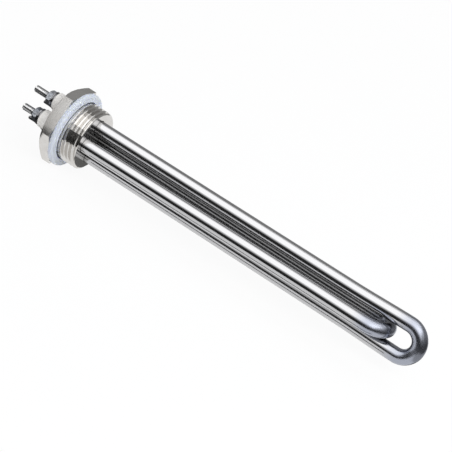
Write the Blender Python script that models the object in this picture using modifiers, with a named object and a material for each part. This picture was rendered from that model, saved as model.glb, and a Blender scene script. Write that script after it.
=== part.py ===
"""Screw plug immersion heater: a hexagonal plug with a pipe thread that carries two
hairpin heating elements, set crosswise, and their terminals at the back.

All pieces hang on one empty at the middle of the spigot's front face. Its X axis is the
heater's axis, plus towards the hairpins' tips. Sizes are in metres, angles in radians.
"""
import bpy
import bmesh
from math import acos, ceil, cos, pi, radians, sin, sqrt, tan
from mathutils import Matrix, Vector

# Clearances that keep neighbours apart
FIT_GAP = 0.0003          # round a shaft in its bore
SEAT_GAP = 0.0001         # between two flat faces that rest on each other
CUT_OVERRUN = 0.001       # how far a cutter passes the face it leaves through

# Plug: hexagon and threaded spigot
HEX_FLATS = 0.038
HEX_THICKNESS = 0.0065
HEX_CHAMFER_ANGLE = radians(30)
HEX_CHAMFER_OFFSET = 0.0002      # outside the flats, where the corner chamfer starts
SPIGOT_LENGTH = 0.0119
THREAD_MAJOR_DIAMETER = 0.033249
THREAD_PITCH = 0.002309
THREAD_DEPTH = 0.001479
THREAD_CREST_FLAT = 0.00036
THREAD_HALF_ANGLE = radians(27.5)
SPIGOT_CHAMFER = 0.0010
RELIEF_WIDTH = 0.0024            # turned groove where the thread runs out
RELIEF_DEPTH = 0.0001            # below the thread's root
SPIGOT_ROOT = 0.0020             # how far the spigot's form reaches into the hexagon
PLUG_STEPS = 30
CHAMFER_STEPS = 24

# Sealing ring
GASKET_WIDTH = 0.0039            # from its bore to its outside
GASKET_THICKNESS = 0.0030
GASKET_EDGE_RADIUS = 0.0010
GASKET_EDGE_STEPS = 2
GASKET_STEPS = 36

# Hairpins
LEG_CIRCLE_RADIUS = 0.0082       # from the plug's axis to each leg
BEND_RADIUS = 0.0088             # the bend is a little wider than the legs' spacing
SPREAD_LENGTH = 0.034            # over which the legs widen to the bend
SHEATH_DIAMETER = 0.0080
SHEATH_WALL = 0.0006
OUTER_LENGTH = 0.2054            # front face to the tip of the longer hairpin
INNER_LENGTH = 0.1876
TWIST = radians(5.5)             # how far the tips are turned against the plug
TWIST_START = 0.005
SHEATH_PROUD = 0.0020            # sheath end behind the hexagon
SHEATH_BEND_STEPS = 12
SHEATH_SIDES_RESOLUTION = 6      # 16 sides

# Inside the sheaths
FILL_WALL = 0.0008
FILL_BEND_STEPS = 8
FILL_SIDES_RESOLUTION = 2        # 8 sides
COIL_RADIUS = 0.0017
WIRE_DIAMETER = 0.0005
COIL_PITCH = 0.018
COIL_POINTS_PER_TURN = 6
COLD_LENGTH = 0.024              # pin inside the leg, from the front face
PIN_DIAMETER = 0.0025
SEAL_LENGTH = 0.0028

# Terminals
STUD_DIAMETER = 0.0039
STUD_PROUD = 0.0101              # stud tip behind the nut
PLAIN_PIN_DIAMETER = 0.0018
PLAIN_PIN_PROUD = 0.0093         # pin tip behind the level of the nuts
PIN_END_CHAMFER = 0.0004
INSULATOR_DIAMETER = 0.0100
INSULATOR_LENGTH = 0.0075
INSULATOR_EDGE = 0.0006
INSULATOR_SOCKET_SPARE = 0.0004  # room behind the sheath's end
STRIP_THICKNESS = 0.0005
STRIP_STUD_END_RADIUS = 0.0042
STRIP_PIN_END_RADIUS = 0.0026
WASHER_DIAMETER = 0.0090
WASHER_THICKNESS = 0.0008
NUT_FLATS = 0.0070
NUT_THICKNESS = 0.0031
NUT_CHAMFER_OFFSET = 0.0002      # inside the flats, where the corner chamfer starts
SMALL_STEPS = 16
PIN_STEPS = 12

# Derived places along the axis, counted from the spigot's front face
HEX_FRONT = -SPIGOT_LENGTH
HEX_BACK = HEX_FRONT - HEX_THICKNESS
SHEATH_END = HEX_BACK - SHEATH_PROUD
INSULATOR_FRONT = HEX_BACK - SEAT_GAP
INSULATOR_BACK = INSULATOR_FRONT - INSULATOR_LENGTH
SOCKET_END = SHEATH_END - INSULATOR_SOCKET_SPARE
STRIP_FRONT = INSULATOR_BACK - SEAT_GAP
STRIP_BACK = STRIP_FRONT - STRIP_THICKNESS
WASHER_FRONT = STRIP_BACK - SEAT_GAP
WASHER_BACK = WASHER_FRONT - WASHER_THICKNESS
NUT_FRONT = WASHER_BACK - SEAT_GAP
NUT_BACK = NUT_FRONT - NUT_THICKNESS
STUD_TIP = NUT_BACK - STUD_PROUD
PLAIN_PIN_TIP = NUT_BACK - PLAIN_PIN_PROUD
SEAL_BACK = SHEATH_END + SEAT_GAP
SEAL_FRONT = SEAL_BACK + SEAL_LENGTH
FILL_START = SEAL_FRONT + SEAT_GAP

# Derived radii
SHEATH_RADIUS = SHEATH_DIAMETER / 2
SHEATH_BORE = SHEATH_RADIUS - SHEATH_WALL
FILL_RADIUS = SHEATH_BORE - FIT_GAP
THREAD_MAJOR = THREAD_MAJOR_DIAMETER / 2
THREAD_MINOR = THREAD_MAJOR - THREAD_DEPTH
GASKET_BORE = THREAD_MAJOR + FIT_GAP
GASKET_RADIUS = GASKET_BORE + GASKET_WIDTH
HEX_CHAMFER_RADIUS = HEX_FLATS / 2 + HEX_CHAMFER_OFFSET
NUT_CHAMFER_RADIUS = NUT_FLATS / 2 - NUT_CHAMFER_OFFSET

# The frame: the box's middle along X, and the ring's lowest point on Z = 0
AXIS_PLACE = Vector((-(STUD_TIP + OUTER_LENGTH) / 2, 0.0, GASKET_RADIUS))

# Each leg: its direction round the plug's axis, counted from +Z towards +Y
LEG_ANGLES = {"top": 0.0, "rear": pi / 2, "bottom": pi, "front": -pi / 2}
STUD_LEGS = ("top", "front")
LINKS = (("top", "rear"), ("front", "bottom"))
HAIRPINS = {"outer": (OUTER_LENGTH, LEG_ANGLES["top"]),
            "inner": (INNER_LENGTH, LEG_ANGLES["rear"])}

ALONG_AXIS = (0.0, pi / 2, 0.0)  # turns a piece's own Z into the heater's X


def clear_scene():
    for obj in list(bpy.data.objects):
        bpy.data.objects.remove(obj, do_unlink=True)


def new_collection(name):
    collection = bpy.data.collections.new(name)
    bpy.context.scene.collection.children.link(collection)
    return collection


def material(name, colour, roughness, metallic):
    mat = bpy.data.materials.new(name)
    mat.use_nodes = True
    shader = mat.node_tree.nodes["Principled BSDF"]
    shader.inputs["Base Color"].default_value = (*colour, 1.0)
    shader.inputs["Roughness"].default_value = roughness
    shader.inputs["Metallic"].default_value = metallic
    return mat


def add_object(name, data, collection, mat=None, at=(0, 0, 0), turn=(0, 0, 0)):
    obj = bpy.data.objects.new(name, data)
    obj.location = at
    obj.rotation_euler = turn
    obj.parent = axis
    collection.objects.link(obj)
    if mat is not None:
        data.materials.append(mat)
    return obj


def shade(mesh):
    mesh.shade_smooth()
    mesh.set_sharp_from_angle(angle=radians(35))


def leg_place(leg, x=0.0):
    """The point on a leg's line in the plug."""
    angle = LEG_ANGLES[leg]
    return Vector((x, LEG_CIRCLE_RADIUS * sin(angle), LEG_CIRCLE_RADIUS * cos(angle)))


def turned(name, profile, collection, mat=None, at=(0, 0, 0), steps=SMALL_STEPS, ring=True,
           between=False):
    """A turned piece. The profile is (radius, place along the axis), from the outer side's
    +X end to its -X end. A ring's profile closes on itself, a solid's ends on the axis.
    With between set, its facets' edges lie halfway between those of other turned pieces."""
    lean = pi / steps if between else 0
    mesh = bpy.data.meshes.new(name)
    count = len(profile)
    edges = [(i, i + 1) for i in range(count - 1)]
    if ring:
        edges.append((count - 1, 0))
    mesh.from_pydata([(radius * cos(lean), radius * sin(lean), place)
                      for radius, place in profile], edges, [])
    obj = add_object(name, mesh, collection, mat, at, ALONG_AXIS)
    screw = obj.modifiers.new("turn", "SCREW")
    screw.axis = "Z"
    screw.steps = screw.render_steps = steps
    screw.use_merge_vertices = True
    screw.merge_threshold = 0.00002
    screw.use_smooth_shade = False
    return obj


def as_cutter(obj):
    obj.hide_render = True
    obj.display_type = "WIRE"
    return obj


def boolean(obj, other, operation):
    modifier = obj.modifiers.new(operation.lower(), "BOOLEAN")
    modifier.operation = operation
    modifier.solver = "EXACT"
    modifier.object = other


def to_mesh_object(obj, name, collection, mat, weld=True):
    """A mesh copy of a curve or of an object with modifiers, in the same place."""
    bpy.context.view_layer.update()
    evaluated = obj.evaluated_get(bpy.context.evaluated_depsgraph_get())
    mesh = bpy.data.meshes.new_from_object(evaluated)
    mesh.name = name
    mesh.materials.clear()
    if weld:
        bm = bmesh.new()
        bm.from_mesh(mesh)
        bmesh.ops.remove_doubles(bm, verts=bm.verts, dist=0.000001)
        bm.to_mesh(mesh)
        bm.free()
    place, turn = obj.location.copy(), obj.rotation_euler.copy()
    bpy.data.objects.remove(obj, do_unlink=True)
    return add_object(name, mesh, collection, mat, place, turn)


def hexagon(name, flats, back, front, collection, mat=None, at=(0, 0, 0)):
    """A hexagonal bar between two places along the axis, with two of its flats level."""
    bm = bmesh.new()
    corner_radius = flats / sqrt(3)
    bmesh.ops.create_cone(bm, cap_ends=True, segments=6, radius1=corner_radius,
                          radius2=corner_radius, depth=front - back)
    bmesh.ops.translate(bm, verts=bm.verts, vec=(0, 0, (front + back) / 2))
    mesh = bpy.data.meshes.new(name)
    bm.to_mesh(mesh)
    bm.free()
    return add_object(name, mesh, collection, mat, at, ALONG_AXIS)


def corner_chamfer(name, flats, start_radius, back, front, both_ends, at=(0, 0, 0)):
    """The turned form that a hexagon is cut to, which bevels its corners at the ends."""
    outer = flats / sqrt(3) + CUT_OVERRUN
    drop = (outer - start_radius) * tan(HEX_CHAMFER_ANGLE)
    if both_ends:
        head = [(0, front), (start_radius, front), (outer, front - drop)]
    else:
        head = [(0, front + CUT_OVERRUN), (outer, front + CUT_OVERRUN)]
    tail = [(outer, back + drop), (start_radius, back), (0, back)]
    return as_cutter(turned(name, head + tail, cutters, at=at, steps=CHAMFER_STEPS, ring=False,
                            between=True))


def drill(name, radius, back, front, at, steps=SMALL_STEPS):
    """A solid cylinder that cuts a bore right through the stretch between two places."""
    profile = [(0, front + CUT_OVERRUN), (radius, front + CUT_OVERRUN),
               (radius, back - CUT_OVERRUN), (0, back - CUT_OVERRUN)]
    return as_cutter(turned(name, profile, cutters, at=at, steps=steps, ring=False))


def threaded_bar():
    """A bar with the pipe thread on it, longer than the spigot at both ends. One pitch of
    the thread's outline is wound up so that each turn joins the one below it."""
    flank = THREAD_DEPTH * tan(THREAD_HALF_ANGLE)
    root = THREAD_PITCH - THREAD_CREST_FLAT - 2 * flank
    start = HEX_FRONT - THREAD_PITCH
    section = [(THREAD_MINOR, start + THREAD_PITCH), (THREAD_MAJOR, start + THREAD_PITCH - flank),
               (THREAD_MAJOR, start + root + flank), (THREAD_MINOR, start + root),
               (THREAD_MINOR, start)]
    wound = turned("thread_winding", section, cutters, steps=PLUG_STEPS, ring=False, between=True)
    screw = wound.modifiers["turn"]
    screw.screw_offset = THREAD_PITCH
    screw.iterations = ceil(-start / THREAD_PITCH) + 1
    bar = to_mesh_object(wound, "threaded_bar", cutters, None)
    bm = bmesh.new()
    bm.from_mesh(bar.data)
    bmesh.ops.holes_fill(bm, edges=[e for e in bm.edges if e.is_boundary])
    bmesh.ops.recalc_face_normals(bm, faces=bm.faces)
    bm.to_mesh(bar.data)
    bm.free()
    return as_cutter(bar)


def threaded_spigot():
    """The threaded bar turned down to the spigot's envelope: a chamfer in front and a
    relief groove at the hexagon, where the thread runs out."""
    envelope = THREAD_MAJOR + CUT_OVERRUN
    chamfered = THREAD_MAJOR - SPIGOT_CHAMFER
    neck = THREAD_MINOR - RELIEF_DEPTH
    neck_end = HEX_FRONT + RELIEF_WIDTH
    inside_hexagon = HEX_FRONT - SPIGOT_ROOT
    profile = [(0, 0), (chamfered, 0), (envelope, chamfered - envelope), (envelope, neck_end),
               (neck, neck_end), (neck, inside_hexagon), (0, inside_hexagon)]
    spigot = turned("threaded_spigot", profile, cutters, steps=PLUG_STEPS, ring=False)
    boolean(spigot, threaded_bar(), "INTERSECT")
    return as_cutter(spigot)


def plug_body():
    """Hexagon and spigot in one turned and milled piece, with the legs' four bores."""
    body = hexagon("plug_body", HEX_FLATS, HEX_BACK, HEX_FRONT, parts, nickel_plate)
    boolean(body, corner_chamfer("plug_corner_form", HEX_FLATS, HEX_CHAMFER_RADIUS, HEX_BACK,
                                 HEX_FRONT, False), "INTERSECT")
    boolean(body, threaded_spigot(), "UNION")
    for leg in LEG_ANGLES:
        bore = drill("leg_bore_" + leg, SHEATH_RADIUS + FIT_GAP, HEX_BACK, 0, leg_place(leg))
        boolean(body, bore, "DIFFERENCE")
    plug = to_mesh_object(body, "plug_body", parts, nickel_plate, weld=False)
    shade(plug.data)


def sealing_gasket():
    """The flat ring between the hexagon and the wall that the plug is screwed into."""
    back = HEX_FRONT + SEAT_GAP
    front = back + GASKET_THICKNESS
    outer = GASKET_RADIUS
    edge = GASKET_EDGE_RADIUS
    quarter = [pi / 2 * i / GASKET_EDGE_STEPS for i in range(GASKET_EDGE_STEPS + 1)]
    rounded_front = [(outer - edge + edge * sin(a), front - edge + edge * cos(a)) for a in quarter]
    rounded_back = [(outer - edge + edge * cos(a), back + edge - edge * sin(a)) for a in quarter]
    profile = rounded_front + rounded_back + [(GASKET_BORE, back), (GASKET_BORE, front)]
    turned("sealing_gasket", profile, parts, clear_silicone, steps=GASKET_STEPS)


def smooth_step(share):
    share = min(1.0, max(0.0, share))
    return share * share * (3 - 2 * share)


def bend_start(length):
    return length - SHEATH_RADIUS - BEND_RADIUS


def hairpin_point(length, angle, x, side):
    """A point on a leg's centre line. The legs leave the plug parallel, turn a little
    round the axis on their way and widen just before the bend."""
    run = bend_start(length)
    spread = smooth_step((x - run + SPREAD_LENGTH) / SPREAD_LENGTH)
    radius = LEG_CIRCLE_RADIUS + (BEND_RADIUS - LEG_CIRCLE_RADIUS) * spread
    turn = angle + TWIST * min(1.0, max(0.0, (x - TWIST_START) / (run - TWIST_START)))
    return Vector((x, side * radius * sin(turn), side * radius * cos(turn)))


def bend_point(length, angle, share):
    """A point on the half circle that joins the legs, share 0 to 1 from side +1 to -1."""
    around = pi * share
    turn = angle + TWIST
    across = BEND_RADIUS * cos(around)
    return Vector((bend_start(length) + BEND_RADIUS * sin(around), across * sin(turn),
                   across * cos(turn)))


def hairpin_line(length, angle, start, bend_steps):
    """The whole centre line, from one open end round the bend to the other."""
    run = bend_start(length)
    places = [start, TWIST_START, run - SPREAD_LENGTH, run - 0.75 * SPREAD_LENGTH,
              run - 0.5 * SPREAD_LENGTH, run - 0.25 * SPREAD_LENGTH]
    leg = [hairpin_point(length, angle, x, 1) for x in places]
    bend = [bend_point(length, angle, i / bend_steps) for i in range(bend_steps + 1)]
    other = [hairpin_point(length, angle, x, -1) for x in reversed(places)]
    return leg + bend + other


def wire(name, points, radius, resolution, capped, collection, mat=None):
    curve = bpy.data.curves.new(name, "CURVE")
    curve.dimensions = "3D"
    spline = curve.splines.new("POLY")
    spline.points.add(len(points) - 1)
    for spot, point in zip(spline.points, points):
        spot.co = (*point, 1)
    curve.bevel_depth = radius
    curve.bevel_resolution = resolution
    curve.use_fill_caps = capped
    return add_object(name, curve, collection, mat)


def bent_tube(name, line, radius, wall, resolution, mat):
    """A tube of even wall along a hairpin's centre line, open at both ends."""
    guide = wire(name, line, radius, resolution, False, parts)
    tube = to_mesh_object(guide, name, parts, mat)
    shell = tube.modifiers.new("wall", "SOLIDIFY")
    shell.thickness = wall
    shell.offset = -1
    shell.use_even_offset = True
    tube.data.shade_smooth()


def coil_line(length, angle):
    """The resistance wire's centre line: a helix round the hairpin's own centre line."""
    run = bend_start(length)
    first = COLD_LENGTH + FIT_GAP + WIRE_DIAMETER
    leg_length = run - first
    total = 2 * leg_length + pi * BEND_RADIUS
    count = ceil(total / COIL_PITCH) * COIL_POINTS_PER_TURN

    def centre(distance):
        if distance < leg_length:
            return hairpin_point(length, angle, first + distance, 1)
        if distance > total - leg_length:
            return hairpin_point(length, angle, first + total - distance, -1)
        return bend_point(length, angle, (distance - leg_length) / (pi * BEND_RADIUS))

    points = []
    step = total / count
    normal = Vector((0, cos(angle + TWIST), -sin(angle + TWIST)))
    for i in range(count + 1):
        middle = centre(i * step)
        ahead = centre(min(total, (i + 0.5) * step)) - centre(max(0.0, (i - 0.5) * step))
        side = ahead.cross(normal).normalized()
        phase = 2 * pi * i / COIL_POINTS_PER_TURN
        points.append(middle + COIL_RADIUS * (cos(phase) * side + sin(phase) * normal))
    return points


def hairpin(name, length, angle):
    """One heating element without its ends: sheath, packed powder and resistance coil."""
    sheath_line = hairpin_line(length, angle, SHEATH_END, SHEATH_BEND_STEPS)
    bent_tube(name + "_sheath", sheath_line, SHEATH_RADIUS, SHEATH_WALL,
              SHEATH_SIDES_RESOLUTION, polished_steel)
    fill_line = hairpin_line(length, angle, FILL_START, FILL_BEND_STEPS)
    bent_tube(name + "_insulating_fill", fill_line, FILL_RADIUS, FILL_WALL,
              FILL_SIDES_RESOLUTION, magnesia)
    wire(name + "_heating_coil", coil_line(length, angle), WIRE_DIAMETER / 2, 0, True, parts,
         resistance_alloy)


def terminal_pin(leg):
    """The cold pin in a leg's mouth. Two of them end in a terminal stud, two are bare."""
    at = leg_place(leg)
    shank = PIN_DIAMETER / 2
    if leg in STUD_LEGS:
        name, tail, end = "terminal_stud_", STUD_DIAMETER / 2, STUD_TIP
    else:
        name, tail, end = "plain_pin_", PLAIN_PIN_DIAMETER / 2, PLAIN_PIN_TIP
    step_place = SOCKET_END
    profile = [(0, COLD_LENGTH), (shank, COLD_LENGTH), (shank, step_place), (tail, step_place),
               (tail, end + PIN_END_CHAMFER), (tail - PIN_END_CHAMFER, end), (0, end)]
    turned(name + leg, profile, parts, steel, at, steps=PIN_STEPS, ring=False)


def end_seal(leg):
    """The plug of sealing compound that keeps damp out of the powder."""
    bore = PIN_DIAMETER / 2 + FIT_GAP
    profile = [(FILL_RADIUS, SEAL_FRONT), (FILL_RADIUS, SEAL_BACK), (bore, SEAL_BACK),
               (bore, SEAL_FRONT)]
    turned("end_seal_" + leg, profile, parts, sealing_compound, leg_place(leg), PIN_STEPS)


def ceramic_insulator(leg):
    """A bead that sits over the sheath's end on the plug and holds the pin clear of it."""
    outer = INSULATOR_DIAMETER / 2
    edge = INSULATOR_EDGE
    socket = SHEATH_RADIUS + FIT_GAP
    tail = STUD_DIAMETER if leg in STUD_LEGS else PLAIN_PIN_DIAMETER
    bore = max(tail, PIN_DIAMETER) / 2 + FIT_GAP
    profile = [(outer, INSULATOR_FRONT), (outer, INSULATOR_BACK + edge),
               (outer - edge, INSULATOR_BACK), (bore, INSULATOR_BACK),
               (bore, SOCKET_END), (socket, SOCKET_END), (socket, INSULATOR_FRONT)]
    turned("ceramic_insulator_" + leg, profile, parts, white_ceramic, leg_place(leg))


def circle_points(middle, radius, start, end, steps):
    return [(middle + radius * cos(start + (end - start) * i / steps),
             radius * sin(start + (end - start) * i / steps)) for i in range(steps + 1)]


def link_strip(stud_leg, plain_leg):
    """The flat link from a stud to the next leg's bare pin: a blanked strip, two holes."""
    span_vector = leg_place(plain_leg) - leg_place(stud_leg)
    span = span_vector.length
    big, small = STRIP_STUD_END_RADIUS, STRIP_PIN_END_RADIUS
    lean = acos((big - small) / span)
    outline = circle_points(0, big, lean, 2 * pi - lean, SMALL_STEPS)
    outline += circle_points(span, small, -lean, lean, SMALL_STEPS // 2)
    full = 2 * pi * (1 - 1 / PIN_STEPS)
    stud_hole = circle_points(0, STUD_DIAMETER / 2 + FIT_GAP, 0, full, PIN_STEPS - 1)
    pin_hole = circle_points(span, PLAIN_PIN_DIAMETER / 2 + FIT_GAP, 0, full, PIN_STEPS - 1)

    curve = bpy.data.curves.new("link_outline", "CURVE")
    curve.dimensions = "2D"
    curve.fill_mode = "BOTH"
    curve.extrude = STRIP_THICKNESS / 2
    for loop in (outline, stud_hole, pin_hole):
        spline = curve.splines.new("POLY")
        spline.points.add(len(loop) - 1)
        for spot, (x, y) in zip(spline.points, loop):
            spot.co = (x, y, 0, 1)
        spline.use_cyclic_u = True
    along = span_vector.normalized()
    upright = Vector((1, 0, 0))
    turn = Matrix((along, upright.cross(along), upright)).transposed().to_euler()
    at = leg_place(stud_leg, (STRIP_FRONT + STRIP_BACK) / 2)
    blank = add_object("link_outline", curve, parts, None, at, turn)
    to_mesh_object(blank, "link_strip_" + stud_leg + "_" + plain_leg, parts, steel)


def flat_washer(leg):
    outer, bore = WASHER_DIAMETER / 2, STUD_DIAMETER / 2 + FIT_GAP
    profile = [(outer, WASHER_FRONT), (outer, WASHER_BACK), (bore, WASHER_BACK),
               (bore, WASHER_FRONT)]
    turned("flat_washer_" + leg, profile, parts, steel, leg_place(leg))


def hex_nut(leg):
    at = leg_place(leg)
    nut = hexagon("hex_nut_" + leg, NUT_FLATS, NUT_BACK, NUT_FRONT, parts, zinc_plate, at)
    boolean(nut, corner_chamfer("nut_corner_form_" + leg, NUT_FLATS, NUT_CHAMFER_RADIUS,
                                NUT_BACK, NUT_FRONT, True, at), "INTERSECT")
    boolean(nut, drill("nut_bore_" + leg, STUD_DIAMETER / 2 + FIT_GAP, NUT_BACK, NUT_FRONT, at),
            "DIFFERENCE")


def shade_turned_pieces():
    """Round faces smooth, edges sharp, on every piece that still is a plain profile."""
    for obj in parts.objects:
        if obj.type == "MESH" and "turn" in obj.modifiers:
            obj.modifiers["turn"].use_smooth_shade = True


clear_scene()
parts = new_collection("screw_plug_immersion_heater")
cutters = new_collection("cutters")
axis = bpy.data.objects.new("heater_axis", None)
axis.location = AXIS_PLACE
parts.objects.link(axis)

nickel_plate = material("nickel_plate", (0.72, 0.69, 0.62), 0.22, 1.0)
polished_steel = material("polished_steel", (0.68, 0.69, 0.70), 0.12, 1.0)
steel = material("plain_steel", (0.58, 0.58, 0.58), 0.35, 1.0)
zinc_plate = material("zinc_plate", (0.66, 0.69, 0.73), 0.30, 1.0)
clear_silicone = material("clear_silicone", (0.80, 0.83, 0.90), 0.45, 0.0)
white_ceramic = material("white_ceramic", (0.90, 0.87, 0.82), 0.30, 0.0)
sealing_compound = material("sealing_compound", (0.55, 0.20, 0.12), 0.60, 0.0)
magnesia = material("magnesia", (0.88, 0.86, 0.82), 0.90, 0.0)
resistance_alloy = material("resistance_alloy", (0.45, 0.42, 0.40), 0.40, 1.0)

plug_body()
sealing_gasket()
for element, (element_length, element_angle) in HAIRPINS.items():
    hairpin(element, element_length, element_angle)
for leg_name in LEG_ANGLES:
    terminal_pin(leg_name)
    end_seal(leg_name)
    ceramic_insulator(leg_name)
for stud_name, plain_name in LINKS:
    link_strip(stud_name, plain_name)
    flat_washer(stud_name)
    hex_nut(stud_name)
shade_turned_pieces()
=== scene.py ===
"""The looks of the screw plug immersion heater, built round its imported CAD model."""
from math import ceil, cos, hypot, pi, radians, sin

import bpy
import bmesh
from mathutils import Matrix, Vector


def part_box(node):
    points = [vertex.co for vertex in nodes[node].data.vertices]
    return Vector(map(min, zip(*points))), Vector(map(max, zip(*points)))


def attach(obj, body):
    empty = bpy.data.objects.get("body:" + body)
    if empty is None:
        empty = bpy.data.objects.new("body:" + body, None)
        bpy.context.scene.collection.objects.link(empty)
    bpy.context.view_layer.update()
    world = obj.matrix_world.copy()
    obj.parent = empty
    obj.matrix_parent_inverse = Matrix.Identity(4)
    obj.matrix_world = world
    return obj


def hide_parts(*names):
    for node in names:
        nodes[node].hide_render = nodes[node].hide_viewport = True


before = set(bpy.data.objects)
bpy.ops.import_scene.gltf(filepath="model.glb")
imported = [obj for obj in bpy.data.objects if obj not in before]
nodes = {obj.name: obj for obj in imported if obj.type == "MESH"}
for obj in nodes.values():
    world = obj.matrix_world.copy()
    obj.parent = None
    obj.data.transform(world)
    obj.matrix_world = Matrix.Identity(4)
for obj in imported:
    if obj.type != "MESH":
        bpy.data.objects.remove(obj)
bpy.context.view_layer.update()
scene = bpy.context.scene

# The heater's axis: the centre of the spigot's front face, plus X towards the tips
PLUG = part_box("plug_body")
AXIS = Vector((PLUG[1].x, 0.0, (PLUG[0].z + PLUG[1].z) / 2))
OUTER_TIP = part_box("outer_sheath")[1].x
INNER_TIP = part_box("inner_sheath")[1].x
LEGS = ("top", "rear", "bottom", "front")

# The camera, found by fitting it to the object's outlines
CAMERA_AZIMUTH = -1.23678
CAMERA_ELEVATION = 0.46253
CAMERA_ROLL = 0.41595
CAMERA_DISTANCE = 0.90575
CAMERA_FOCAL = 1826.04           # in pixels of a frame 452 wide
CAMERA_OFFSET = (21.98, 14.31)   # where the target lies, right of and below the middle
CAMERA_CLIP = (0.01, 20)
CAMERA_TARGET = AXIS + Vector((0.100, 0.0, 0.0))
FRAME_PIXELS = 452
SENSOR_WIDTH = 36.0              # in millimetres

# Tints of the pieces, each pair light and dark
STRAIGHT_STEEL = (0.53, 0.53, 0.54)
BEND_STEEL = (0.37, 0.39, 0.45)
NICKEL = ((0.70, 0.69, 0.675), (0.60, 0.58, 0.555))
RUBBER = ((0.82, 0.86, 0.93), (0.75, 0.80, 0.89))
CERAMIC = ((0.96, 0.94, 0.91), (0.86, 0.83, 0.78))
BARE_STEEL = ((0.60, 0.60, 0.60), (0.44, 0.44, 0.45))
WIRE_END = ((0.20, 0.20, 0.21), (0.12, 0.12, 0.13))
# painted shade: washers and link strips are dark so that the gap at each insulator looks
# shadowed
WASHER_GAP_SHADE = ((0.26, 0.26, 0.27), (0.16, 0.16, 0.17))
ZINC = ((0.72, 0.75, 0.80), (0.40, 0.43, 0.49))
COMPOUND = ((0.55, 0.20, 0.12), (0.42, 0.14, 0.09))
POWDER = ((0.88, 0.86, 0.82), (0.76, 0.74, 0.70))
COIL_WIRE = ((0.45, 0.42, 0.40), (0.32, 0.29, 0.27))

SATIN_START = 0.022              # behind a hairpin's tip, where the satin of the bend begins
SATIN_FULL = 0.010               # and where it is complete
STREAKS = (0.03, 1, 1)           # noise drawn out along the tube
TURNING_MARKS = (4, 1, 1)        # noise pressed together along the plug
FINE_BUMP = 0.0001
SOFT_BUMP = 0.0002
# Painted shade on the sheaths: the colour darkens where another surface is close
NOOK_SHADE_REACH = 0.012               # how near another surface must come for painted shade on the sheath
NOOK_PAINTED_SHADE = 0.30
NODE_SHARP_ANGLE = radians(35)
MADE_SHARP_ANGLE = radians(50)


# Materials

def grey(value):
    return (value, value, value)


def new_material(name, colour, roughness, metallic=0.0):
    mat = bpy.data.materials.new(name)
    mat.use_nodes = True
    shader = mat.node_tree.nodes["Principled BSDF"]
    shader.inputs["Base Color"].default_value = (*colour, 1.0)
    shader.inputs["Roughness"].default_value = roughness
    shader.inputs["Metallic"].default_value = metallic
    return mat, mat.node_tree, shader


def add_node(tree, kind, **settings):
    node = tree.nodes.new(kind)
    for key, value in settings.items():
        setattr(node, key, value)
    return node


def noise(tree, scale, detail=3.0, stretch=(1, 1, 1)):
    """Noise over the object's own coordinates, stretched along its axes."""
    place = add_node(tree, "ShaderNodeTexCoord")
    mapping = add_node(tree, "ShaderNodeMapping")
    mapping.inputs["Scale"].default_value = stretch
    texture = add_node(tree, "ShaderNodeTexNoise")
    texture.inputs["Scale"].default_value = scale
    texture.inputs["Detail"].default_value = detail
    tree.links.new(place.outputs["Object"], mapping.inputs["Vector"])
    tree.links.new(mapping.outputs["Vector"], texture.inputs["Vector"])
    return texture.outputs["Fac"]


def ramp(tree, source, first, second, low=0.3, high=0.7):
    """The first colour where the source is low, the second where it is high."""
    node = add_node(tree, "ShaderNodeValToRGB")
    stops = ((low, first), (high, second))
    for element, (place, colour) in zip(node.color_ramp.elements, stops):
        element.position = place
        element.color = (*colour, 1.0)
    tree.links.new(source, node.inputs["Fac"])
    return node.outputs["Color"]


def bump(tree, shader, height, strength, distance=FINE_BUMP):
    node = add_node(tree, "ShaderNodeBump")
    node.inputs["Strength"].default_value = strength
    node.inputs["Distance"].default_value = distance
    tree.links.new(height, node.inputs["Height"])
    tree.links.new(node.outputs["Normal"], shader.inputs["Normal"])


def along_x(tree, low, high):
    """0 at low and 1 at high along the heater, in metres of the row frame."""
    place = add_node(tree, "ShaderNodeTexCoord")
    split = add_node(tree, "ShaderNodeSeparateXYZ")
    span = add_node(tree, "ShaderNodeMapRange", clamp=True, interpolation_type="SMOOTHSTEP")
    span.inputs["From Min"].default_value = low
    span.inputs["From Max"].default_value = high
    tree.links.new(place.outputs["Object"], split.inputs["Vector"])
    tree.links.new(split.outputs["X"], span.inputs["Value"])
    return span.outputs["Result"]


def mix_values(tree, factor, first, second):
    node = add_node(tree, "ShaderNodeMix", data_type="FLOAT")
    tree.links.new(factor, node.inputs["Factor"])
    tree.links.new(first, node.inputs["A"])
    tree.links.new(second, node.inputs["B"])
    return node.outputs["Result"]


def painted_shade_in_nooks(tree, tint):
    """The tint with painted shade: made darker where the metal faces another surface close by.
    """
    nook = add_node(tree, "ShaderNodeAmbientOcclusion", samples=8)
    nook.inputs["Distance"].default_value = NOOK_SHADE_REACH
    shade = ramp(tree, nook.outputs["AO"], grey(NOOK_PAINTED_SHADE), grey(1.0), 0.30, 0.62)
    node = add_node(tree, "ShaderNodeMix", data_type="RGBA", blend_type="MULTIPLY")
    node.inputs["Factor"].default_value = 1.0
    tree.links.new(tint, node.inputs["A"])
    tree.links.new(shade, node.inputs["B"])
    return node.outputs["Result"]


def sheath_metal(name, tip):
    """Polished drawn tube, satin from where the bend was formed."""
    mat, tree, shader = new_material(name, STRAIGHT_STEEL, 0.1, 1.0)
    streaks = noise(tree, 260, 2, STREAKS)
    polished = ramp(tree, streaks, grey(0.09), grey(0.16))
    satin = ramp(tree, noise(tree, 900), grey(0.22), grey(0.28))
    bend = along_x(tree, tip - SATIN_START, tip - SATIN_FULL)
    tree.links.new(mix_values(tree, bend, polished, satin), shader.inputs["Roughness"])
    tint = ramp(tree, bend, STRAIGHT_STEEL, BEND_STEEL, 0.0, 1.0)
    # painted shade in the base colour, where the tube faces another surface close by
    tree.links.new(painted_shade_in_nooks(tree, tint), shader.inputs["Base Color"])
    bump(tree, shader, streaks, 0.05)
    return mat


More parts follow.
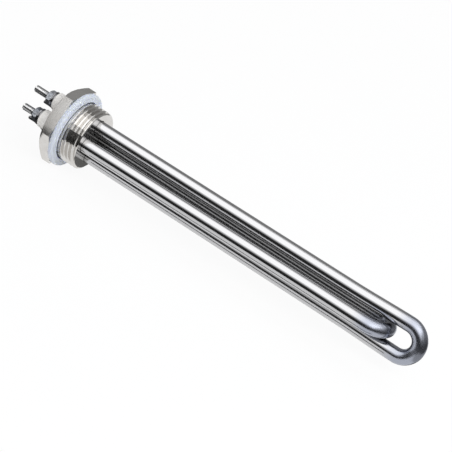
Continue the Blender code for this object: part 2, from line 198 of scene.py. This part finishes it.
def nickel_metal():
    mat, tree, shader = new_material("nickel_plated_plug", NICKEL[0], 0.2, 1.0)
    tint = ramp(tree, noise(tree, 120, 4), *NICKEL, high=0.72)
    tree.links.new(tint, shader.inputs["Base Color"])
    marks = noise(tree, 700, 3, TURNING_MARKS)
    tree.links.new(ramp(tree, marks, grey(0.10), grey(0.20), high=0.75),
                   shader.inputs["Roughness"])
    bump(tree, shader, marks, 0.08)
    return mat


def milky_rubber():
    mat, tree, shader = new_material("milky_silicone", RUBBER[0], 0.42)
    shader.inputs["Subsurface Weight"].default_value = 0.5
    shader.inputs["Subsurface Radius"].default_value = (0.003, 0.003, 0.0036)
    shader.inputs["Transmission Weight"].default_value = 0.25
    shader.inputs["IOR"].default_value = 1.41
    cloud = noise(tree, 160)
    tree.links.new(ramp(tree, cloud, *RUBBER), shader.inputs["Base Color"])
    bump(tree, shader, cloud, 0.1, SOFT_BUMP)
    return mat


def glazed_ceramic():
    mat, tree, shader = new_material("steatite", CERAMIC[0], 0.3)
    shader.inputs["Coat Weight"].default_value = 0.3
    grain = noise(tree, 800, 4)
    tree.links.new(ramp(tree, grain, *CERAMIC, high=0.75), shader.inputs["Base Color"])
    bump(tree, shader, grain, 0.12)
    return mat


def plain_metal(name, tints, rough):
    mat, tree, shader = new_material(name, tints[0], rough, 1.0)
    spots = noise(tree, 420, 4)
    tree.links.new(ramp(tree, spots, *tints, 0.35, 0.75), shader.inputs["Base Color"])
    fine = noise(tree, 1200)
    tree.links.new(ramp(tree, fine, grey(rough - 0.08), grey(rough + 0.1)),
                   shader.inputs["Roughness"])
    bump(tree, shader, fine, 0.1)
    return mat


def matt(name, tints):
    mat, tree, shader = new_material(name, tints[0], 0.8)
    grain = noise(tree, 900, 4)
    tree.links.new(ramp(tree, grain, *tints), shader.inputs["Base Color"])
    bump(tree, shader, grain, 0.3)
    return mat


def dress(material, *names):
    for name in names:
        data = nodes[name].data
        data.materials.clear()
        data.materials.append(material)


dress(sheath_metal("outer_sheath_metal", OUTER_TIP), "outer_sheath")
dress(sheath_metal("inner_sheath_metal", INNER_TIP), "inner_sheath")
dress(nickel_metal(), "plug_body")
dress(milky_rubber(), "sealing_gasket")
dress(glazed_ceramic(), *("ceramic_insulator_" + leg for leg in LEGS))
stud_steel = plain_metal("plain_steel", BARE_STEEL, 0.18)
dress(stud_steel, "terminal_stud_top", "terminal_stud_front")
dress(plain_metal("dark_wire_end", WIRE_END, 0.34), "plain_pin_bottom", "plain_pin_rear")
# painted shade: the dark washers and link strips stand for the shadowed gap by the insulators
dress(plain_metal("washer_painted_shade", WASHER_GAP_SHADE, 0.28),
      "link_strip_top_rear", "link_strip_front_bottom", "flat_washer_top", "flat_washer_front")
dress(plain_metal("zinc_plated_nut", ZINC, 0.14), "hex_nut_top", "hex_nut_front")
dress(matt("sealing_compound", COMPOUND), *("end_seal_" + leg for leg in LEGS))
dress(matt("packed_powder", POWDER), "outer_insulating_fill", "inner_insulating_fill")
dress(plain_metal("resistance_wire", COIL_WIRE, 0.4), "outer_heating_coil",
      "inner_heating_coil")

for node in nodes.values():
    node.data.shade_smooth()
    node.data.set_sharp_from_angle(angle=NODE_SHARP_ANGLE)


# Pieces in the place of a solid

def copied_mesh(node_name, name):
    """A copy of a solid's mesh, in the row frame."""
    mesh = nodes[node_name].data.copy()
    mesh.name = name
    mesh.transform(nodes[node_name].matrix_world)
    return mesh


def made_mesh(bm, name, material):
    bmesh.ops.recalc_face_normals(bm, faces=bm.faces)
    mesh = bpy.data.meshes.new(name)
    bm.to_mesh(mesh)
    bm.free()
    mesh.shade_smooth()
    mesh.set_sharp_from_angle(angle=MADE_SHARP_ANGLE)
    mesh.materials.append(material)
    return mesh


def stand_in(mesh, replaced):
    """Puts the mesh in the place of a solid."""
    piece = bpy.data.objects.new(mesh.name, mesh)
    scene.collection.objects.link(piece)
    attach(piece, "root")
    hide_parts(replaced)


def skin(bm, rings):
    """Faces between each ring of vertices and the next."""
    for first, second in zip(rings, rings[1:]):
        for k in range(len(first)):
            n = (k + 1) % len(first)
            bm.faces.new((first[k], first[n], second[n], second[k]))


# The spigot's thread and front face, which the photo shows further out than the solid has
# them. The relief groove behind the thread is lengthened, and shallow as in the photo.

SPIGOT_LONGER = 0.0021
THREAD_START = -0.0095           # from the spigot's front face, where the groove ends
NECK_RADIUS = 0.01505            # the groove's, in the solid
SHALLOW_RADIUS = 0.0163
TINY = 0.0001


def longer_plug():
    mesh = copied_mesh("plug_body", "longer_plug")
    for vertex in mesh.vertices:
        place = vertex.co - AXIS
        radius = hypot(place.y, place.z)
        if place.x < THREAD_START + TINY and abs(radius - NECK_RADIUS) < TINY:
            vertex.co.y = AXIS.y + place.y * SHALLOW_RADIUS / radius
            vertex.co.z = AXIS.z + place.z * SHALLOW_RADIUS / radius
        if place.x > THREAD_START - TINY:
            vertex.co.x += SPIGOT_LONGER
    stand_in(mesh, "plug_body")


longer_plug()


# Smooth sheaths

LEG_CIRCLE_RADIUS = 0.0082       # from the heater's axis to each leg
BEND_RADIUS = 0.0088
SPREAD_LENGTH = 0.034            # over which the legs widen to the bend
TWIST = radians(5.5)             # how far the tips are turned against the plug
TWIST_START = 0.005
SHEATH_RADIUS = 0.0040
SHEATH_WALL = 0.0006
SHEATH_SIDES = 48
LEG_STEPS = 60
BEND_STEPS = 40


def leg_point(run, angle, x, side):
    """A point on a leg's centre line, as in the CAD model."""
    share = min(1.0, max(0.0, (x - run + SPREAD_LENGTH) / SPREAD_LENGTH))
    spread = share * share * (3 - 2 * share)
    radius = LEG_CIRCLE_RADIUS + (BEND_RADIUS - LEG_CIRCLE_RADIUS) * spread
    turn = angle + TWIST * min(1.0, max(0.0, (x - TWIST_START) / (run - TWIST_START)))
    return AXIS + Vector((x, side * radius * sin(turn), side * radius * cos(turn)))


def bend_point(run, angle, share):
    across = BEND_RADIUS * cos(pi * share)
    turn = angle + TWIST
    return AXIS + Vector((run + BEND_RADIUS * sin(pi * share), across * sin(turn),
                          across * cos(turn)))


def hairpin_line(start, tip, angle):
    run = tip - SHEATH_RADIUS - BEND_RADIUS
    places = [start + (run - start) * i / LEG_STEPS for i in range(LEG_STEPS)]
    leg = [leg_point(run, angle, x, 1) for x in places]
    bend = [bend_point(run, angle, i / BEND_STEPS) for i in range(BEND_STEPS + 1)]
    other = [leg_point(run, angle, x, -1) for x in reversed(places)]
    return leg + bend + other


def rings_along(bm, line, radius):
    """Rings of vertices round a line, each turned as little as can be against the last."""
    rings = []
    across = Vector((0, 1, 0))
    turns = [2 * pi * k / SHEATH_SIDES for k in range(SHEATH_SIDES)]
    for i, middle in enumerate(line):
        ahead = line[min(i + 1, len(line) - 1)] - line[max(i - 1, 0)]
        ahead.normalize()
        across = (across - ahead * across.dot(ahead)).normalized()
        other = ahead.cross(across)
        rings.append([bm.verts.new(middle + radius * (cos(t) * across + sin(t) * other))
                      for t in turns])
    return rings


def smooth_sheath(name, angle):
    """The hairpin's tube with a round section, in the place of its faceted solid."""
    low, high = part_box(name)
    line = hairpin_line(low.x - AXIS.x, high.x - AXIS.x, angle)
    bm = bmesh.new()
    outside = rings_along(bm, line, SHEATH_RADIUS)
    inside = rings_along(bm, line, SHEATH_RADIUS - SHEATH_WALL)
    rings = outside + list(reversed(inside))
    skin(bm, rings + rings[:1])
    mesh = made_mesh(bm, "smooth_" + name, nodes[name].data.materials[0])
    stand_in(mesh, name)


smooth_sheath("outer_sheath", 0.0)
smooth_sheath("inner_sheath", pi / 2)


# Threaded studs and bare pins, each shorter than its solid, as the photo shows them

STUD_CUTS = {"top": 0.0011, "front": 0.0025}
STUD_PITCH = 0.0007
STUD_THREAD_DEPTH = 0.61         # of the pitch
STUD_CREST = 1.25                # above 1, it leaves the crests flat
STUD_CHAMFER = 0.00015
RUN_OUT = 0.0005                 # over which the thread starts and fades
THREAD_IN_INSULATOR = 0.0020
SHANK_RADIUS = 0.00125
SHANK_STEP = 0.0003
THREAD_STEPS = 28
RINGS_PER_TURN = 4
PIN_CUTS = {"rear": 0.0031, "bottom": 0.0022}
PIN_TIP = 0.002                  # from the pin's end, the part that is moved


def threaded_stud(leg, cut):
    """The stud with its true thread, in the place of its plain solid and shorter by cut."""
    low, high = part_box("terminal_stud_" + leg)
    start = low.x + cut
    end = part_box("ceramic_insulator_" + leg)[0].x + THREAD_IN_INSULATOR
    middle_y, middle_z = (low.y + high.y) / 2, (low.z + high.z) / 2
    major = (high.y - low.y) / 2
    minor = major - STUD_THREAD_DEPTH * STUD_PITCH
    angles = [2 * pi * k / THREAD_STEPS for k in range(THREAD_STEPS)]
    bm = bmesh.new()

    def radius_at(x, angle):
        phase = ((x - start) / STUD_PITCH - angle / (2 * pi)) % 1.0
        wave = 1 - abs(2 * phase - 1)
        risen = min(1.0, (x - start) / RUN_OUT)
        left = max(min(1.0, (end - x) / RUN_OUT), 0.0)
        thread = (major - minor) * min(1.0, wave * STUD_CREST) * risen * left
        return minor + thread - STUD_CHAMFER * (1 - risen)

    def ring(x, radii):
        return [bm.verts.new((x, middle_y + radius * sin(angle),
                              middle_z + radius * cos(angle)))
                for radius, angle in zip(radii, angles)]

    # Rings of a helical surface: the radius depends on the place along and round the stud
    count = ceil((end - start) / STUD_PITCH * RINGS_PER_TURN)
    places = [start + (end - start) * i / count for i in range(count + 1)]
    rings = [ring(x, [radius_at(x, angle) for angle in angles]) for x in places]
    rings += [ring(x, [SHANK_RADIUS] * THREAD_STEPS) for x in (end + SHANK_STEP, high.x)]
    skin(bm, rings)
    bm.faces.new(list(reversed(rings[0])))
    bm.faces.new(rings[-1])
    stand_in(made_mesh(bm, "threaded_stud_" + leg, stud_steel), "terminal_stud_" + leg)


def shorter_pin(leg, cut):
    mesh = copied_mesh("plain_pin_" + leg, "shorter_pin_" + leg)
    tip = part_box("plain_pin_" + leg)[0].x + PIN_TIP
    for vertex in mesh.vertices:
        if vertex.co.x < tip:
            vertex.co.x += cut
    stand_in(mesh, "plain_pin_" + leg)


for stud_leg, stud_cut in STUD_CUTS.items():
    threaded_stud(stud_leg, stud_cut)
for pin_leg, pin_cut in PIN_CUTS.items():
    shorter_pin(pin_leg, pin_cut)


# Camera

def make_camera():
    away = Vector((cos(CAMERA_ELEVATION) * cos(CAMERA_AZIMUTH),
                   cos(CAMERA_ELEVATION) * sin(CAMERA_AZIMUTH), sin(CAMERA_ELEVATION)))
    right = Vector((0, 0, 1)).cross(away).normalized()
    up = away.cross(right)
    turned_right = cos(CAMERA_ROLL) * right + sin(CAMERA_ROLL) * up
    turned_up = cos(CAMERA_ROLL) * up - sin(CAMERA_ROLL) * right
    data = bpy.data.cameras.new("camera")
    data.sensor_width = SENSOR_WIDTH
    data.lens = CAMERA_FOCAL / FRAME_PIXELS * data.sensor_width
    data.shift_x = -CAMERA_OFFSET[0] / FRAME_PIXELS
    data.shift_y = CAMERA_OFFSET[1] / FRAME_PIXELS
    data.clip_start, data.clip_end = CAMERA_CLIP
    camera = bpy.data.objects.new("camera", data)
    turn = Matrix((turned_right, turned_up, away)).transposed()
    place = CAMERA_TARGET + away * CAMERA_DISTANCE
    camera.matrix_world = Matrix.Translation(place) @ turn.to_4x4()
    scene.collection.objects.link(camera)
    scene.camera = camera


make_camera()


# Light and surroundings

LIT_MIDDLE = AXIS + Vector((0.08, 0, 0))
KEY_AWAY = Vector((0.65, -0.45, 0.75))     # from the lit middle
KEY_SIZE = (0.8, 0.4)
KEY_POWER = 6.5
FILL_AWAY = Vector((0.2, 0.6, 0.75))
FILL_SIZE = (0.8, 0.8)
FILL_POWER = 2
WORLD_LIGHT = (0.55, 0.56, 0.58)
FLOOR_TINT = (0.95, 0.95, 0.95)
FLOOR_GLOW = 0.92                # the share of white that the camera and mirrors see
FLOOR_HALF = 3
FLOOR_DROP = 0.0002              # below the part, so that no face lies in the floor's own

# The cards that mirrors see. Heights are from the floor, depths from the heater's axis.
WIDE = (-1.1, 1.1)
FRONT = -0.60
BACK = 0.45
HORIZON = 0.11
FADE_TOP = 0.44
CEILING = 0.60
WALL_TOP = 1.15
BOX_BACK = 0.06
END_PLACE = 0.62
SIDE = (-0.95, -0.387)
SIDE_DEPTH = -0.58
SIDE_TOP = 0.376
SIDE_FADE_TOP = 0.50
CARD_HEIGHT = 0.0006             # of the cards on the floor
TABLE_EDGE = -0.052              # where the dark table in front of the heater ends
TIP_GAP = 0.008                  # between the outer tip and the grey beyond it
TABLE_END = 0.045                # from the outer tip to the dark table's end
UNDER_MIDDLE = 0.004
UNDER_BACK = 0.034
BEHIND_BACK = 0.10
STRIP = (-0.0172, -0.0128)       # the narrow shade on the floor before the front leg
STRIP_SHORT = 0.02               # how far it ends before the outer tip
HEXAGON_CARD_DEPTH = -0.06
HEXAGON_CARD_HEIGHTS = (0.020, 0.0485)


def from_face(first, last):
    """A range along the heater, given from the spigot's front face in the solids."""
    return AXIS.x + first, AXIS.x + last


def area_light(name, away, size, power):
    data = bpy.data.lights.new(name, "AREA")
    data.shape = "RECTANGLE"
    data.size, data.size_y = size
    data.energy = power
    light = bpy.data.objects.new(name, data)
    light.location = LIT_MIDDLE + away
    light.rotation_mode = "QUATERNION"
    light.rotation_quaternion = away.to_track_quat("Z", "Y")
    scene.collection.objects.link(light)


def seen_ray(tree):
    """1 for rays of the camera, of mirrors and through rubber, and 0 for light on the part."""
    path = add_node(tree, "ShaderNodeLightPath")
    any_ray = path.outputs["Is Camera Ray"]
    for output in ("Is Glossy Ray", "Is Transmission Ray"):
        most = add_node(tree, "ShaderNodeMath", operation="MAXIMUM")
        tree.links.new(any_ray, most.inputs[0])
        tree.links.new(path.outputs[output], most.inputs[1])
        any_ray = most.outputs[0]
    return any_ray


def white_world():
    """White to the camera, in mirrors and through rubber. A dimmer grey lights the part."""
    world = bpy.data.worlds.new("studio")
    world.use_nodes = True
    tree = world.node_tree
    tree.nodes.clear()
    seen = add_node(tree, "ShaderNodeBackground")
    seen.inputs["Color"].default_value = (1, 1, 1, 1)
    light = add_node(tree, "ShaderNodeBackground")
    light.inputs["Color"].default_value = (*WORLD_LIGHT, 1)
    mix = add_node(tree, "ShaderNodeMixShader")
    out = add_node(tree, "ShaderNodeOutputWorld")
    tree.links.new(seen_ray(tree), mix.inputs["Fac"])
    tree.links.new(light.outputs[0], mix.inputs[1])
    tree.links.new(seen.outputs[0], mix.inputs[2])
    tree.links.new(mix.outputs[0], out.inputs["Surface"])
    scene.world = world


def pale_floor():
    mat, tree, shader = new_material("floor", FLOOR_TINT, 0.7)
    glow = add_node(tree, "ShaderNodeEmission")
    mix = add_node(tree, "ShaderNodeMixShader")
    share = add_node(tree, "ShaderNodeMath", operation="MULTIPLY")
    share.inputs[1].default_value = FLOOR_GLOW
    tree.links.new(seen_ray(tree), share.inputs[0])
    tree.links.new(share.outputs[0], mix.inputs["Fac"])
    tree.links.new(shader.outputs[0], mix.inputs[1])
    tree.links.new(glow.outputs[0], mix.inputs[2])
    tree.links.new(mix.outputs[0], tree.nodes["Material Output"].inputs["Surface"])
    bm = bmesh.new()
    bmesh.ops.create_grid(bm, x_segments=1, y_segments=1, size=FLOOR_HALF)
    mesh = bpy.data.meshes.new("floor")
    bm.to_mesh(mesh)
    bm.free()
    mesh.materials.append(mat)
    floor = bpy.data.objects.new("floor", mesh)
    floor.location.z = -FLOOR_DROP
    scene.collection.objects.link(floor)


def card(name, corners, low, high=None):
    """A card that only mirrors see, such as the polished tubes. Its brightness runs from low
    at its bottom edge to high at its top edge."""
    mat = bpy.data.materials.new(name)
    mat.use_nodes = True
    tree = mat.node_tree
    tree.nodes.clear()
    glow = add_node(tree, "ShaderNodeEmission")
    place = add_node(tree, "ShaderNodeTexCoord")
    split = add_node(tree, "ShaderNodeSeparateXYZ")
    tree.links.new(place.outputs["Generated"], split.inputs["Vector"])
    shades = ramp(tree, split.outputs["Z"], grey(low), grey(high or low), 0.0, 1.0)
    tree.links.new(shades, glow.inputs["Color"])
    out = add_node(tree, "ShaderNodeOutputMaterial")
    tree.links.new(glow.outputs[0], out.inputs["Surface"])
    mesh = bpy.data.meshes.new(name)
    mesh.from_pydata(corners, [], [(0, 1, 2, 3)])
    mesh.materials.append(mat)
    piece = bpy.data.objects.new(name, mesh)
    for kind in ("camera", "diffuse", "shadow", "transmission", "volume_scatter"):
        setattr(piece, "visible_" + kind, False)
    scene.collection.objects.link(piece)


def level_card(name, x_range, y_range, brightness, height=CARD_HEIGHT):
    (x0, x1), (y0, y1) = x_range, y_range
    card(name, [(x0, y0, height), (x1, y0, height), (x1, y1, height), (x0, y1, height)],
         brightness)


def upright_card(name, x_range, y, z_range, low, high=None):
    (x0, x1), (z0, z1) = x_range, z_range
    card(name, [(x0, y, z0), (x1, y, z0), (x1, y, z1), (x0, y, z1)], low, high)


def end_card(name, x, y_range, z_range, low, high):
    (y0, y1), (z0, z1) = y_range, z_range
    card(name, [(x, y0, z0), (x, y1, z0), (x, y1, z1), (x, y0, z1)], low, high)


white_world()
pale_floor()
area_light("key", KEY_AWAY, KEY_SIZE, KEY_POWER)
area_light("fill", FILL_AWAY, FILL_SIZE, FILL_POWER)

# A dark table in front, and shades on the floor near the heater
level_card("dark_table_edge", WIDE, (FRONT, TABLE_EDGE), 0.028)
level_card("dark_table_end", (OUTER_TIP + TABLE_END, WIDE[1]), (TABLE_EDGE, BACK), 0.08)
level_card("grey_by_tip", (OUTER_TIP + TIP_GAP, OUTER_TIP + TABLE_END),
           (TABLE_EDGE, BEHIND_BACK), 0.5)
level_card("shade_under_studs", from_face(-0.0877, -0.0247), (TABLE_EDGE, UNDER_MIDDLE), 0.05)
upright_card("dark_by_hexagon", from_face(-0.0412, -0.0282), HEXAGON_CARD_DEPTH,
             HEXAGON_CARD_HEIGHTS, 0.03)
level_card("shade_under_heater", from_face(-0.0577, 0.2123), (UNDER_MIDDLE, UNDER_BACK), 0.14)
level_card("shade_before_heater", (AXIS.x, OUTER_TIP - STRIP_SHORT), STRIP, 0.03)
level_card("shade_behind_heater", from_face(0.0523, 0.1823), (UNDER_BACK, BEHIND_BACK), 0.24)

# A dark horizon that fades upwards, a bright box above it, and grey behind and at the ends
upright_card("dark_horizon", WIDE, FRONT, (0.0, HORIZON), 0.024)
upright_card("horizon_fade", WIDE, FRONT, (HORIZON, FADE_TOP), 0.024, 1.5)
upright_card("soft_front", WIDE, FRONT, (FADE_TOP, CEILING), 1.8)
upright_card("dark_side", SIDE, SIDE_DEPTH, (0.0, SIDE_TOP), 0.06)
upright_card("dim_side", SIDE, SIDE_DEPTH, (SIDE_TOP, SIDE_FADE_TOP), 0.50, 0.60)
level_card("soft_box", WIDE, (FRONT, BOX_BACK), 1.8, CEILING)
upright_card("grey_wall", WIDE, BACK, (0.0, WALL_TOP), 0.32, 0.26)
end_card("dim_end", END_PLACE, (FRONT, BACK), (0.0, CEILING), 0.05, 0.40)

scene.view_settings.view_transform = "Standard"
